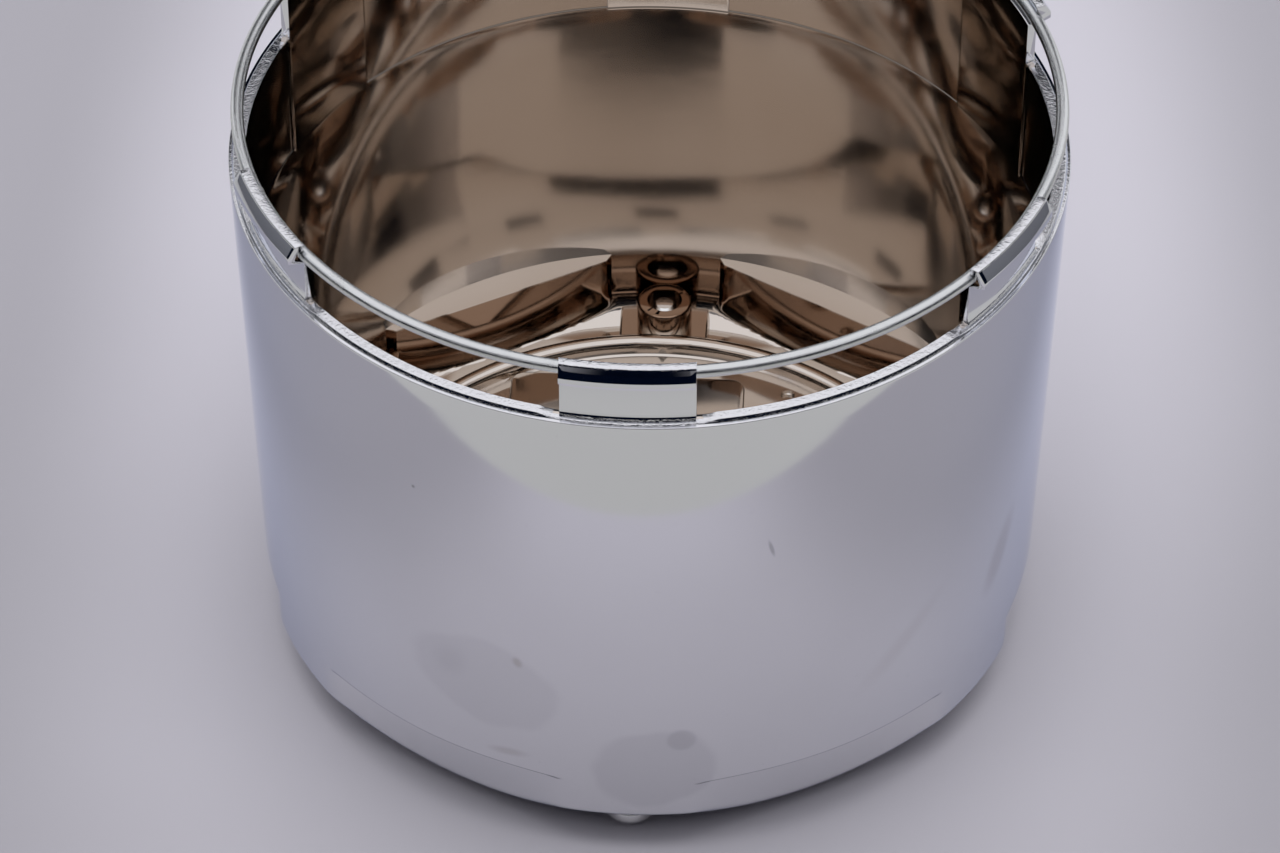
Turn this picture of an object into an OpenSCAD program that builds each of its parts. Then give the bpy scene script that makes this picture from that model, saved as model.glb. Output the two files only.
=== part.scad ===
// Tall snap-in center cap for a road wheel. A plated one-piece shell has snap tabs
// around its open back, a spring wire ring that spreads the tabs, and domed bolts
// in the pads of its front face. It stands on the bolt heads with the back up.
// The origin is the middle of the footprint, and one tab faces -Y.

/* [Shell] */
// Outside diameter at the rim
rim_d = 130; // [110:1:160]
// How far the wall draws in from the rim to its foot
wall_taper = 2.2; // [0.5:0.1:4]
// Height from the front face to the rim
shell_h = 90.7; // [70:0.1:120]
// Thickness of the wall at the rim
rim_wall = 2.6; // [2.2:0.1:4]
// Thickness of the wall at its foot
foot_wall = 3.2; // [2.4:0.1:5]
// Thickness of the front face
face_t = 2.6; // [2:0.1:4]
// Width of the bevel between the wall and the front face
bevel_w = 5.8; // [4:0.1:8]
// Height of that bevel
bevel_h = 5.8; // [4:0.1:7]
// Radius of the rounding between the wall and the floor inside
floor_round_r = 6.4; // [5:0.2:9]
// Distance from the rim down to the ledge inside
ledge_drop = 22.7; // [15:0.1:30]
// Width of the ledge inside
ledge_w = 0.5; // [0.2:0.1:1]

/* [Rim lip] */
// Width of the low outer step of the rim
lip_w = 0.7; // [0.4:0.1:1.2]
// Height of that step
lip_h = 0.6; // [0.2:0.1:1.2]
// Length of the relief in the rim past each side of a tab
relief_side = 2.4; // [1:0.1:4]
// Depth of that relief
relief_h = 0.3; // [0.1:0.1:0.6]

/* [Snap tabs] */
// Number of tabs, of pads in the front face and of bolts
tab_count = 6; // [3:1:8]
// Width of a tab
tab_w = 20; // [12:0.5:30]
// Height of a tab above the rim
tab_h = 10.8; // [9:0.1:14]
// Thickness of a tab's neck
neck_t = 1.5; // [1.4:0.1:1.9]
// Thickness of the panel below a tab, inside the wall
panel_t = 0.4; // [0.2:0.1:1]
// How far a tab's nose stands out past the rim
nose_out = 1; // [0.5:0.1:2]
// Height of the nose's upright face
nose_h = 1.1; // [0.5:0.1:1.5]
// Height of the sloping catch under the nose
catch_h = 0.6; // [0.2:0.1:1.2]
// Width of the sloping lead-in above the nose
lead_w = 1.2; // [0.6:0.1:1.6]
// Height of the lead-in
lead_h = 1.8; // [1:0.1:2.4]
// Width of the flat top of a tab
tab_top_w = 1.4; // [0.8:0.1:1.6]
// Height of the blend at the foot of a tab
tab_foot_h = 1; // [0.4:0.1:2]
// Width of that blend
tab_foot_w = 0.4; // [0.1:0.1:0.7]

/* [Wire ring] */
// Diameter of the spring wire
wire_d = 2; // [1.5:0.1:2.5]
// Height of the wire's middle above the rim
wire_up = 8.8; // [7:0.1:10]
// Distance of the wire's middle inside the outer side of the necks
wire_in = 0.3; // [0.1:0.05:0.5]
// Clearance between the wire and its groove
wire_fit = 0.05; // [0:0.01:0.2]
// Gap between the ends of the wire
wire_gap = 6; // [2:0.5:20]
// Direction of that gap, counted from the tab on -Y
wire_gap_at = 150; // [0:5:355]

/* [Front recesses] */
// Depth of the flat sides, inwards from the foot of the wall
flat_inset = 3.8; // [2.5:0.1:6]
// Height of the flat sides, up to the step under the round wall
flat_h = 12.9; // [8:0.1:20]
// Wall thickness behind the flat sides
flat_wall = 4.2; // [2:0.1:5]
// Height of the ledges inside, above the flat sides' step outside
pocket_rise = 3; // [2:0.1:5]
// Width of the pocket inside, behind a pad
pocket_w = 19; // [14:0.5:24]
// Distance from the foot of the wall in to the shallow round seat in the front face
seat_inset = 18.8; // [15:0.2:40]
// Depth of that seat
seat_deep = 0.8; // [0.2:0.1:1.2]

/* [Inside of the face] */
// Distance from the foot of the wall in to the middle of the ring rib
rib_inset = 12.8; // [11.8:0.2:30]
// Width of the ring rib
rib_w = 3; // [2:0.1:5]
// Height of the ring rib above the floor
rib_h = 3; // [2:0.1:6]
// Length of the raised blank plate
plate_l = 40; // [20:1:50]
// Width of that plate
plate_b = 22; // [10:1:30]
// Height of that plate
plate_h = 1.2; // [0.4:0.1:2]
// Distance of the plate's middle left of the axis
plate_left = 5.5; // [0:0.5:10]
// Gap between the plate's far side and the inside of the rib
plate_gap = 6.8; // [5:0.1:20]
// Diameter of the round gate mark in the floor
gate_d = 2.4; // [1:0.1:4]
// Depth of the gate mark
gate_deep = 0.8; // [0.2:0.1:1.2]
// Direction of the gate mark, counted from the pad on +Y
gate_at = 29; // [0:1:59]

/* [Bolts] */
// Distance from the foot of the wall in to the middle of a bolt
bolt_inset = 7.6; // [7:0.1:9]
// Diameter of a bolt head
head_d = 9; // [7:0.1:11]
// Height of a bolt head
head_h = 4.5; // [3.5:0.1:5]
// Height of the round side of a bolt head
head_side_h = 1.5; // [0.6:0.1:2]
// How far a bolt head stands out of the front face
head_proud = 2.2; // [1:0.1:2.6]
// Diameter of a bolt's shank
shank_d = 4; // [3:0.1:5]
// Clearance around the shank, on the radius
shank_fit = 0.05; // [0.02:0.01:0.2]
// Clearance around the head, on the radius
head_fit = 0.3; // [0.1:0.05:0.6]
// Thickness of the pad between the bolt head and the bottom of the boss
web_t = 3; // [2:0.1:5]
// Diameter of the boss inside
boss_d = 9.4; // [8:0.1:12]
// Height of the boss above its pedestal
boss_h = 4.25; // [2:0.05:8]
// Diameter of the open hole in the top of the boss
boss_hole_d = 6; // [5:0.1:7]
// Width of the pedestal under the boss
pedestal_w = 15.2; // [12:0.1:18]
// Height of the pedestal above the floor
pedestal_h = 2.6; // [1:0.1:4]
// Distance from the top of the boss down to the bolt's tip
tip_drop = 0.75; // [0:0.05:3]
// Height of the bevel at the bolt's tip
tip_bevel = 0.5; // [0.2:0.1:1]

/* [Hidden] */
$fn = 180;

// Overlap of a cut with what it cuts, and of a part with what carries it
over = 1;
// Colours of the plated plastic, the wire and the bolts
plate_c = [0.78, 0.79, 0.83];
wire_c = [0.70, 0.71, 0.73];
bolt_c = [0.82, 0.82, 0.84];

// Levels above the surface that the cap stands on
face_z = head_proud;
floor_z = face_z + face_t;
bevel_z = face_z + bevel_h;
foot_z = floor_z + floor_round_r;
rim_z = face_z + shell_h;
ledge_z = rim_z - ledge_drop;
flat_z = face_z + flat_h;
pocket_z = flat_z + pocket_rise;
wire_z = rim_z + wire_up;
pedestal_z = floor_z + pedestal_h;
boss_z = pedestal_z + boss_h;
seat_z = head_h;
boss_floor_z = seat_z + web_t;
tip_z = boss_z - tip_drop;

// Radii of the wall, outside and inside
rim_r = rim_d / 2;
foot_r = rim_r - wall_taper;
rim_in_r = rim_r - rim_wall;
ledge_in_r = rim_in_r - ledge_w;
foot_in_r = foot_r - foot_wall;

// Radii of a tab, measured from the cap's axis
neck_in_r = rim_in_r - panel_t;
neck_out_r = neck_in_r + neck_t;
foot_out_r = neck_out_r + tab_foot_w;
nose_r = rim_r + nose_out;
step_r = rim_r - lip_w;
wire_r = neck_out_r - wire_in;
groove_r = wire_d / 2 + wire_fit;
shelf_z = wire_z - wire_d / 2;
top_z = rim_z + tab_h;
nose_top_z = top_z - lead_h;
top_out_r = nose_r - lead_w;
top_in_r = top_out_r - tab_top_w;

// Places in and behind the front face
seat_r = foot_r - seat_inset;
flat_r = foot_r - flat_inset;
flat_in_r = flat_r - flat_wall;
rib_r = foot_r - rib_inset;
rib_in_r = rib_r - rib_w / 2;
plate_far_y = rib_in_r - plate_gap;
gate_r = rib_in_r - gate_d - over;
bolt_r = foot_r - bolt_inset;
tab_step = 360 / tab_count;

// Repeats its children at each tab, starting with the one on -Y
module at_each_tab() {
    for (i = [0 : tab_count - 1])
        rotate([0, 0, i * tab_step - 90]) children();
}

// A bar from the axis outwards along +X, for what lies below or beside a tab
module radial_bar(width, from_r, low_z, high_z) {
    translate([from_r, -width / 2, low_z])
        cube([rim_d - from_r, width, high_z - low_z]);
}

// A prism whose corners point at the tabs, and whose sides are side_r from the axis
module front_prism(side_r, low_z, high_z) {
    rotate([0, 0, -90])
        translate([0, 0, low_z])
            cylinder(h = high_z - low_z, r = side_r / cos(180 / tab_count),
                     $fn = tab_count);
}

// Half section of the solid cap, with its bevelled foot and stepped rim
module outer_section() {
    polygon([[0, face_z], [foot_r - bevel_w, face_z], [foot_r, bevel_z],
             [foot_r, foot_z], [rim_r, rim_z - lip_h], [step_r, rim_z - lip_h],
             [step_r, rim_z], [0, rim_z]]);
}

// Half section of the space inside, down to the rounded edge of the floor
module inner_section() {
    polygon([[0, floor_z], [foot_in_r - floor_round_r, floor_z],
             [foot_in_r - floor_round_r, foot_z], [foot_in_r, foot_z],
             [ledge_in_r, ledge_z], [rim_in_r, ledge_z], [rim_in_r, rim_z + over],
             [0, rim_z + over]]);
    intersection() {
        translate([foot_in_r - floor_round_r, foot_z]) circle(r = floor_round_r);
        translate([0, floor_z]) square([foot_in_r, floor_round_r]);
    }
}

// Space inside: round above the flat sides, a prism with pad pockets below
module cavity() {
    intersection() {
        rotate_extrude() inner_section();
        union() {
            translate([0, 0, pocket_z]) cylinder(h = rim_z, r = rim_d);
            front_prism(flat_in_r, face_z, pocket_z + over);
            at_each_tab()
                radial_bar(pocket_w, 0, face_z, pocket_z + over);
        }
    }
}

// What is cut away outside to leave the flat sides, with a round pad between two
module flat_side_cuts() {
    difference() {
        translate([0, 0, -over]) cylinder(h = flat_z + over, r = rim_d);
        front_prism(flat_r, -2 * over, flat_z + over);
    }
}

// Low relief in the rim in front of one tab
module rim_relief() {
    intersection() {
        difference() {
            translate([0, 0, rim_z - relief_h]) cylinder(h = 2 * relief_h, r = rim_d);
            translate([0, 0, rim_z - over]) cylinder(h = 2 * over, r = neck_out_r);
        }
        radial_bar(tab_w + 2 * relief_side, 0, rim_z - over, rim_z + over);
    }
}

// Half section of a tab: panel, neck, nose and the groove that holds the wire
module tab_section() {
    difference() {
        polygon([[neck_in_r, ledge_z], [rim_in_r + over, ledge_z],
                 [rim_in_r + over, rim_z - over], [foot_out_r, rim_z - over],
                 [foot_out_r, rim_z - relief_h], [neck_out_r, rim_z + tab_foot_h],
                 [neck_out_r, nose_top_z - nose_h - catch_h], [nose_r, nose_top_z - nose_h],
                 [nose_r, nose_top_z], [top_out_r, top_z], [top_in_r, top_z],
                 [top_in_r, shelf_z], [neck_in_r, shelf_z]]);
        translate([wire_r, wire_z]) circle(r = groove_r);
    }
}

// One snap tab on +X, cut to its width from a full turn
module snap_tab() {
    intersection() {
        rotate_extrude() tab_section();
        radial_bar(tab_w, 0, ledge_z - over, top_z + over);
    }
}

// Ring rib with a rounded top
module ring_rib() {
    rotate_extrude() {
        translate([rib_in_r, floor_z - over]) square([rib_w, rib_h + over - rib_w / 2]);
        translate([rib_r, floor_z + rib_h - rib_w / 2]) circle(d = rib_w);
    }
}

// Blank plate with rounded corners, between the axis and the far part of the rib
module blank_plate() {
    corner_r = plate_h * 2;
    translate([-plate_left, plate_far_y - plate_b / 2, floor_z - over])
        linear_extrude(height = plate_h + over)
            union() {
                square([plate_l - 2 * corner_r, plate_b], center = true);
                square([plate_l, plate_b - 2 * corner_r], center = true);
                for (sx = [-1, 1], sy = [-1, 1])
                    translate([sx * (plate_l / 2 - corner_r), sy * (plate_b / 2 - corner_r)])
                        circle(r = corner_r);
            }
}

// Pedestals and bosses for the bolts, kept inside the round wall
module bolt_seats() {
    intersection() {
        at_each_tab() {
            radial_bar(pedestal_w, rib_in_r, floor_z - over, pedestal_z);
            translate([bolt_r, 0, floor_z - over])
                cylinder(h = boss_z - floor_z + over, d = boss_d);
        }
        rotate_extrude() outer_section();
    }
}

// Recess for the head, hole for the shank and open top of the boss, at one bolt
module bolt_cuts() {
    translate([bolt_r, 0, -over]) cylinder(h = seat_z + over, d = head_d + 2 * head_fit);
    translate([bolt_r, 0, 0]) cylinder(h = boss_z, d = shank_d + 2 * shank_fit);
    translate([bolt_r, 0, boss_floor_z])
        cylinder(h = boss_z - boss_floor_z + over, d = boss_hole_d);
}

// The plated one-piece shell
module cap_shell() {
    color(plate_c)
        difference() {
            union() {
                difference() {
                    rotate_extrude() outer_section();
                    cavity();
                    at_each_tab() rim_relief();
                }
                at_each_tab() snap_tab();
                ring_rib();
                blank_plate();
                bolt_seats();
            }
            flat_side_cuts();
            at_each_tab() bolt_cuts();
            translate([0, 0, -over]) cylinder(h = face_z + seat_deep + over, r = seat_r);
            rotate([0, 0, 90 - gate_at])
                translate([gate_r, 0, floor_z - gate_deep])
                    cylinder(h = gate_deep + over, d = gate_d);
        }
}

// The spring wire ring, open at one place and with rounded ends
module retaining_ring() {
    half_gap = asin(wire_gap / 2 / wire_r);
    color(wire_c)
        rotate([0, 0, wire_gap_at - 90])
            translate([0, 0, wire_z]) {
                rotate([0, 0, half_gap])
                    rotate_extrude(angle = 360 - 2 * half_gap)
                        translate([wire_r, 0]) circle(d = wire_d);
                for (side = [-1, 1])
                    rotate([0, 0, side * half_gap])
                        translate([wire_r, 0, 0]) sphere(d = wire_d);
            }
}

// Half section of a bolt: dome, round side, shank and bevelled tip
module bolt_section() {
    dome_h = head_h - head_side_h;
    dome_r = (head_d * head_d / 4 + dome_h * dome_h) / (2 * dome_h);
    intersection() {
        translate([0, dome_r]) circle(r = dome_r);
        square([head_d / 2, head_h]);
    }
    polygon([[0, dome_h], [shank_d / 2, dome_h], [shank_d / 2, tip_z - tip_bevel],
             [shank_d / 2 - tip_bevel, tip_z], [0, tip_z]]);
}

// One bolt, head down, below its pad
module bolt(i) {
    color(bolt_c)
        rotate([0, 0, i * tab_step - 90])
            translate([bolt_r, 0, 0]) rotate_extrude() bolt_section();
}

cap_shell();
retaining_ring();
for (i = [0 : tab_count - 1])
    bolt(i);
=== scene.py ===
"""Looks for a tall snap-in wheel center cap that stands on its face, open back up.

The plated shell, the spring wire ring and the six bolts are rebuilt as smooth
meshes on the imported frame, dressed with their finishes, and set on a pale floor
under soft studio light. Sizes are in millimetres, and only those of the lamp,
the floor's disc and the cards are in metres.
"""

import logging
import math
from dataclasses import dataclass
from enum import Enum

import bmesh
import bpy
from mathutils import Matrix, Vector


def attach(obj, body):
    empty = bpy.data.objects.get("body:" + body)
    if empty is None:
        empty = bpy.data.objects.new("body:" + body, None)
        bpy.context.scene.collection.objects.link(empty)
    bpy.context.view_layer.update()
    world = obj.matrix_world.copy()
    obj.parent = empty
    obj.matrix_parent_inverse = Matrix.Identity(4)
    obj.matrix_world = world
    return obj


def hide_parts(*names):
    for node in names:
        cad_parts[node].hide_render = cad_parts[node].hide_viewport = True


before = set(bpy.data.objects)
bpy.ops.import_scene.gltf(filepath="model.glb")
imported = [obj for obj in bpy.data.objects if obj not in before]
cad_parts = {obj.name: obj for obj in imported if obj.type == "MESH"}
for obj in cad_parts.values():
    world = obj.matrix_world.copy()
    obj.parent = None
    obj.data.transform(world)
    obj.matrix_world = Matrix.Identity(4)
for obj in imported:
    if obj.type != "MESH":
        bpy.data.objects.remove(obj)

log = logging.getLogger("center_cap")

MM = 0.001
FULL_TURN = 2.0 * math.pi
QUARTER_TURN = math.pi / 2
BODY = "root"
# Attribute that carries the painted shade line along the edge of the step above the flat sides
CREASE_SHADE = "step_crease_shade"
SMALL_STEPS = 64
ROUND_STEP = math.radians(14.0)
SAME = 1e-3
SENSOR_W = 36.0

Point = tuple[float, float]
Triple = tuple[float, float, float]
Colour = Triple
Mesh = bmesh.types.BMesh
Thing = bpy.types.Object
Material = bpy.types.Material
Socket = bpy.types.NodeSocket


class Joining(Enum):
    """How a cutter or an addition meets the shell."""

    ADD = "UNION"
    CUT = "DIFFERENCE"


class Skin(Enum):
    """Which plating a face of the shell shows."""

    OUTSIDE = 0
    INSIDE = 1


# ---------------------------------------------------------------- mesh helpers


def arc(centre: Point, radius: float, start: float, end: float, steps: int) -> list[Point]:
    """Gives the points of a circular arc in a half section.

    Args:
        centre: Distance from the axis and height of the arc's middle.
        radius: Radius of the arc.
        start: Angle of the first point in degrees, 0 outwards and 90 up.
        end: Angle of the last point in degrees.
        steps: Number of straight pieces.

    Returns:
        The points, from start to end.
    """
    angles = [math.radians(start + (end - start) * i / steps) for i in range(steps + 1)]
    return [(centre[0] + radius * math.cos(a), centre[1] + radius * math.sin(a)) for a in angles]


def rounded(corners: list[Triple]) -> list[Point]:
    """Gives a path through corners, each of them rounded.

    Args:
        corners: Distance from the axis, height and rounding radius of each corner.

    Returns:
        The points of the path.
    """
    path: list[Point] = []
    for i, (r, z, radius) in enumerate(corners):
        if radius == 0.0 or i in (0, len(corners) - 1):
            path.append((r, z))
            continue
        here = Vector((r, z))
        back = (Vector(corners[i - 1][:2]) - here).normalized()
        ahead = (Vector(corners[i + 1][:2]) - here).normalized()
        half = back.angle(ahead) / 2.0
        centre = here + (back + ahead).normalized() * (radius / math.sin(half))
        first = here + back * (radius / math.tan(half)) - centre
        last = here + ahead * (radius / math.tan(half)) - centre
        sweep = first.angle_signed(last)
        steps = max(2, round(abs(sweep) / ROUND_STEP))
        for k in range(steps + 1):
            turn = -sweep * k / steps
            path.append((centre.x + first.x * math.cos(turn) - first.y * math.sin(turn),
                         centre.y + first.x * math.sin(turn) + first.y * math.cos(turn)))
    return path


def smooth_step(value: float) -> float:
    """Gives 0 below 0, 1 above 1 and an even S curve between."""
    t = min(1.0, max(0.0, value))
    return t * t * (3.0 - 2.0 * t)


def soft_min(a: float, b: float, width: float) -> float:
    """Gives the smaller of two values, rounded where they are nearly equal.

    Args:
        a: First value.
        b: Second value.
        width: Difference below which the change is rounded.

    Returns:
        The rounded smaller value.
    """
    share = min(1.0, max(0.0, 0.5 + 0.5 * (b - a) / width))
    return b * (1.0 - share) + a * share - width * share * (1.0 - share)


def shift(bm: Mesh, x: float, y: float, z: float = 0.0) -> None:
    """Moves a whole mesh."""
    bmesh.ops.translate(bm, verts=bm.verts[:], vec=(x, y, z))


def rotate(bm: Mesh, verts: list[bmesh.types.BMVert], angle: float, axis: str = "Z") -> None:
    """Turns corners of a mesh about an axis through the origin, by radians."""
    bmesh.ops.rotate(bm, verts=verts, cent=(0, 0, 0), matrix=Matrix.Rotation(angle, 3, axis))


def spin(bm: Mesh, angle: float, steps: int) -> None:
    """Sweeps a whole mesh about the upright axis.

    Args:
        bm: The mesh, of corners and edges.
        angle: Angle of the sweep in radians, from +X towards +Y.
        steps: Number of steps of the sweep.
    """
    bmesh.ops.spin(bm, geom=bm.verts[:] + bm.edges[:], cent=(0, 0, 0), axis=(0, 0, 1),
                   dvec=(0, 0, 0), angle=angle, steps=steps,
                   use_merge=abs(angle - FULL_TURN) < 1e-6, use_duplicate=False)


def turned_profile(points: list[Point], steps: int = SMALL_STEPS, closed: bool = False,
                   angle: float = FULL_TURN) -> Mesh:
    """Turns a half section about the cap's axis.

    Args:
        points: Distance from the axis and height of each corner.
        steps: Number of steps round the turn.
        closed: Whether the last corner joins the first.
        angle: Angle of the turn in radians, from +X towards +Y.

    Returns:
        The turned mesh, with its doubles merged.
    """
    bm = bmesh.new()
    corners = [bm.verts.new((r, 0.0, z)) for r, z in points]
    for pair in zip(corners, corners[1:]):
        bm.edges.new(pair)
    if closed:
        bm.edges.new((corners[-1], corners[0]))
    spin(bm, angle, steps)
    bmesh.ops.remove_doubles(bm, verts=bm.verts[:], dist=1e-4)
    return bm


def box(size: Triple, middle: Triple) -> Mesh:
    """Makes a plain box.

    Args:
        size: Its size along X, Y and Z.
        middle: Its middle.

    Returns:
        The box.
    """
    bm = bmesh.new()
    bmesh.ops.create_cube(bm, size=1.0)
    bmesh.ops.scale(bm, vec=size, verts=bm.verts[:])
    shift(bm, *middle)
    return bm


def bevel(bm: Mesh, edges: list[bmesh.types.BMEdge], width: float, segments: int) -> None:
    """Rounds edges of a mesh.

    Args:
        bm: The mesh.
        edges: The edges.
        width: Width of the rounding.
        segments: Number of faces across the rounding.
    """
    bmesh.ops.bevel(bm, geom=edges, offset=width, offset_type="OFFSET", segments=segments,
                    profile=0.5, affect="EDGES", material=-1, clamp_overlap=True)


def bevel_corners(bm: Mesh, width: float, segments: int, least_degrees: float = 25.0) -> None:
    """Rounds every edge of a mesh that is sharper than an angle.

    Args:
        bm: The mesh.
        width: Width of the rounding.
        segments: Number of faces across the rounding.
        least_degrees: Angle between faces from which an edge is rounded.
    """
    least = math.radians(least_degrees)
    bevel(bm, [e for e in bm.edges if len(e.link_faces) == 2 and e.calc_face_angle(0.0) > least],
          width, segments)


def repeat_round(bm: Mesh, count: int) -> None:
    """Repeats a mesh evenly about the cap's axis.

    Args:
        bm: The mesh of one place.
        count: Number of places in all.
    """
    first = bm.verts[:] + bm.edges[:] + bm.faces[:]
    for place in range(1, count):
        made = bmesh.ops.duplicate(bm, geom=first)["geom"]
        copies = [g for g in made if isinstance(g, bmesh.types.BMVert)]
        rotate(bm, copies, FULL_TURN * place / count)


def face_outwards(bm: Mesh) -> None:
    """Points every face of a closed mesh outwards."""
    bmesh.ops.recalc_face_normals(bm, faces=bm.faces[:])


def link(name: str, data: bpy.types.ID) -> Thing:
    """Puts data into the scene as an object at the origin.

    Args:
        name: Name of the object.
        data: Its mesh, lamp or camera.

    Returns:
        The object.
    """
    made = bpy.data.objects.new(name, data)
    bpy.context.scene.collection.objects.link(made)
    return made


def to_object(bm: Mesh, name: str, unit: float = MM) -> Thing:
    """Makes an object at the origin from a mesh, and frees the mesh.

    Args:
        bm: The mesh.
        name: Name of the object.
        unit: Length of the mesh's unit in metres.

    Returns:
        The object, in metres.
    """
    bmesh.ops.scale(bm, vec=(unit, unit, unit), verts=bm.verts[:])
    data = bpy.data.meshes.new(name)
    bm.to_mesh(data)
    bm.free()
    return link(name, data)


def join_solid(target: Thing, tool: Thing, joining: Joining) -> None:
    """Adds a solid to another or cuts it out, and removes the tool.

    Args:
        target: The object that is changed.
        tool: The object that is added or cut out.
        joining: Whether it is added or cut out.
    """
    step = target.modifiers.new("join", "BOOLEAN")
    step.operation = joining.value
    step.solver = "EXACT"
    step.object = tool
    seen = target.evaluated_get(bpy.context.evaluated_depsgraph_get())
    result = bpy.data.meshes.new_from_object(seen)
    target.modifiers.remove(step)
    old = target.data
    target.data = result
    bpy.data.meshes.remove(old)
    bpy.data.objects.remove(tool)


def shade(target: Thing, crease_degrees: float = 32.0) -> None:
    """Shades an object smooth and keeps its creases sharp.

    Args:
        target: The object.
        crease_degrees: Angle between faces from which an edge stays sharp.
    """
    bm = bmesh.new()
    bm.from_mesh(target.data)
    crease = math.radians(crease_degrees)
    for face in bm.faces:
        face.smooth = True
    for edge in bm.edges:
        edge.smooth = len(edge.link_faces) != 2 or edge.calc_face_angle(0.0) < crease
    bm.to_mesh(target.data)
    bm.free()


# -------------------------------------------------------------- shader helpers


class Value:
    """A number socket of a shader, on which sums add Math nodes."""

    def __init__(self, tree: "Shader", socket: Socket) -> None:
        """Keeps the shader and the socket."""
        self.tree = tree
        self.socket = socket

    def _math(self, operation: str, *inputs: "Value | float") -> "Value":
        """Adds one Math node."""
        node = self.tree.node("ShaderNodeMath", {"operation": operation},
                              dict(enumerate(inputs)))
        return Value(self.tree, node.outputs[0])

    def __add__(self, other: "Value | float") -> "Value":
        """Adds."""
        return self._math("ADD", self, other)

    __radd__ = __add__

    def __sub__(self, other: "Value | float") -> "Value":
        """Takes away."""
        return self._math("SUBTRACT", self, other)

    def __rsub__(self, other: "Value | float") -> "Value":
        """Is taken away from a number."""
        return self._math("SUBTRACT", other, self)

    def __mul__(self, other: "Value | float") -> "Value":
        """Multiplies."""
        return self._math("MULTIPLY", self, other)

    __rmul__ = __mul__

    def __truediv__(self, other: "Value | float") -> "Value":
        """Divides."""
        return self._math("DIVIDE", self, other)

    def root(self) -> "Value":
        """Square root."""
        return self._math("SQRT", self)

    def least(self, other: "Value | float") -> "Value":
        """Smaller of two values."""
        return self._math("MINIMUM", self, other)

    def angle_to(self, other: "Value") -> "Value":
        """Angle of the direction whose sides are self and other, in radians."""
        return self._math("ARCTAN2", self, other)

    def between(self, low: float, high: float, to_low: float = 0.0,
                to_high: float = 1.0) -> "Value":
        """Maps a range to another along an even S curve.

        Args:
            low: Start of the range.
            high: End of the range.
            to_low: Result at the start.
            to_high: Result at the end.

        Returns:
            The mapped value.
        """
        node = self.tree.node("ShaderNodeMapRange", {"interpolation_type": "SMOOTHSTEP"},
                              {0: self, 1: low, 2: high, 3: to_low, 4: to_high})
        return Value(self.tree, node.outputs[0])

    def band(self, rise: Point, fall: Point) -> "Value":
        """Gives 1 from the end of the rise to the start of the fall, and 0 outside both."""
        return self.between(*rise) * (1.0 - self.between(*fall))


class Shader:
    """A material's node tree."""

    def __init__(self, name: str) -> None:
        """Makes an empty material with a Principled shader."""
        self.material = bpy.data.materials.new(name)
        self.material.use_nodes = True
        self.nodes = self.material.node_tree.nodes
        self.links = self.material.node_tree.links
        self.nodes.clear()
        self.surface = self.node("ShaderNodeBsdfPrincipled")
        self.node("ShaderNodeOutputMaterial", inputs={"Surface": self.surface.outputs[0]})

    def node(self, kind: str, settings: dict | None = None,
             inputs: dict | None = None) -> bpy.types.Node:
        """Adds a node.

        Args:
            kind: Type of the node.
            settings: Properties of the node, which are set first.
            inputs: Values or links of its sockets, by name or number.

        Returns:
            The node.
        """
        made = self.nodes.new(kind)
        for name, value in (settings or {}).items():
            setattr(made, name, value)
        for name, value in (inputs or {}).items():
            self.feed(made.inputs[name], value)
        return made

    def feed(self, socket: Socket, value: object) -> None:
        """Links or sets one socket.

        Args:
            socket: The socket.
            value: A Value, another node's socket, a number or a colour.
        """
        if isinstance(value, Value):
            self.links.new(value.socket, socket)
        elif isinstance(value, Socket):
            self.links.new(value, socket)
        elif isinstance(value, tuple):
            socket.default_value = (*value, 1.0)
        else:
            socket.default_value = value

    def set(self, **sockets: object) -> None:
        """Sets or links sockets of the Principled shader, by name with _ for a space."""
        for name, value in sockets.items():
            title = name.replace("_", " ").title().replace("Ior", "IOR")
            self.feed(self.surface.inputs[title], value)

    def place(self) -> tuple[Value, Value, Value, Socket]:
        """Gives X, Y and Z in millimetres and the place as a vector in metres."""
        where = self.node("ShaderNodeTexCoord").outputs["Object"]
        parts = self.node("ShaderNodeSeparateXYZ", inputs={0: where})
        x, y, z = (Value(self, parts.outputs[i]) * (1.0 / MM) for i in range(3))
        return x, y, z, where

    def noise(self, where: Socket, scale: float, detail: float = 3.0,
              rough: float = 0.5) -> Value:
        """Adds a noise.

        Args:
            where: The place that it reads.
            scale: Number of blotches in a unit of that place.
            detail: Number of finer layers.
            rough: Strength of the finer layers.

        Returns:
            The noise, from about 0.2 to 0.8.
        """
        node = self.node("ShaderNodeTexNoise", inputs={
            "Vector": where, "Scale": scale, "Detail": detail, "Roughness": rough})
        return Value(self, node.outputs[0])

    def vector(self, x: "Value | float", y: "Value | float", z: "Value | float") -> Socket:
        """Joins three values to a vector."""
        return self.node("ShaderNodeCombineXYZ", inputs={0: x, 1: y, 2: z}).outputs[0]

    def blend(self, share: "Value | float", first: object, second: object) -> Socket:
        """Mixes two colours.

        Args:
            share: Share of the second colour.
            first: First colour.
            second: Second colour.

        Returns:
            The mixed colour.
        """
        node = self.node("ShaderNodeMix", {"data_type": "RGBA"},
                         {0: share, 6: first, 7: second})
        return node.outputs[2]

    def bump(self, height: Value, strength: float = 1.0) -> Socket:
        """Bends the normal by a height in millimetres, of which strength is the share shown."""
        return self.node("ShaderNodeBump", inputs={
            "Strength": strength, "Distance": MM, "Height": height}).outputs[0]


# -------------------------------------------------------------------- finishes


def tone(colour: Colour, share: float) -> Colour:
    """Gives a darker tone of a colour."""
    return (colour[0] * share, colour[1] * share, colour[2] * share)


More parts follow.
